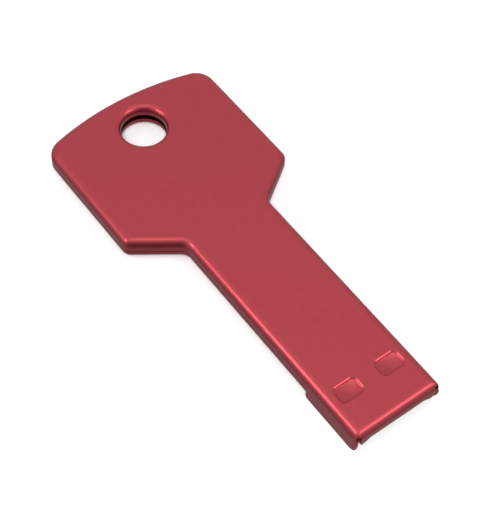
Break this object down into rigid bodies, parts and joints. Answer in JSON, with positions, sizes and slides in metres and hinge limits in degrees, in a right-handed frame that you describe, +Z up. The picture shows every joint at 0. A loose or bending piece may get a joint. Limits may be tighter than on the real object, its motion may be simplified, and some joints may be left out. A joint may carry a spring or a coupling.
{
  "type": "usb flash drive",
  "caption": "Flat key-shaped metal flash drive with a keyring hole in its head and a half-height data plug at the end of its shaft.",
  "frame": {"origin": "middle of the footprint, level with the lower edges of the plug's rails", "axes": "+X along the key from its head to the plug's tip, +Z up through the front face, away from the contacts"},
  "size_m": [0.0552, 0.024, 0.0033],
  "materials": {
    "shell_red": "satin metallic coating over thin sheet metal",
    "carrier_plastic": "moulded, fine texture",
    "tape": "translucent double-sided adhesive tape",
    "pad": "smooth amber insulating film",
    "substrate": "black solder mask over glass-fibre laminate",
    "mould_compound": "fine-ground epoxy moulding compound",
    "gold_contact": "gold plating over copper",
    "silicon": "polished silicon",
    "die_film": "die-attach film",
    "bond_wire": "bare gold wire",
    "capacitor_ceramic": "sintered ceramic",
    "resistor_ceramic": "glazed ceramic",
    "terminal_tin": "matt tin plating"
  },
  "bodies": {
    "root": {"front_shell": "shell_red", "back_shell": "shell_red", "carrier": "carrier_plastic", "front_tape": "tape", "back_tape": "tape", "module_tape": "tape", "insulating_pad": "pad", "module_substrate": "substrate", "module_mould": "mould_compound", "contact_vbus": "gold_contact", "contact_data_minus": "gold_contact", "contact_data_plus": "gold_contact", "contact_ground": "gold_contact", "test_pads": "gold_contact", "controller_die": "silicon", "nand_die_lower": "silicon", "nand_die_upper": "silicon", "controller_film": "die_film", "nand_film_lower": "die_film", "nand_film_upper": "die_film", "controller_wires": "bond_wire", "memory_wires": "bond_wire", "capacitors": "capacitor_ceramic", "resistors": "resistor_ceramic", "chip_terminals": "terminal_tin"}
  },
  "joints": []
}
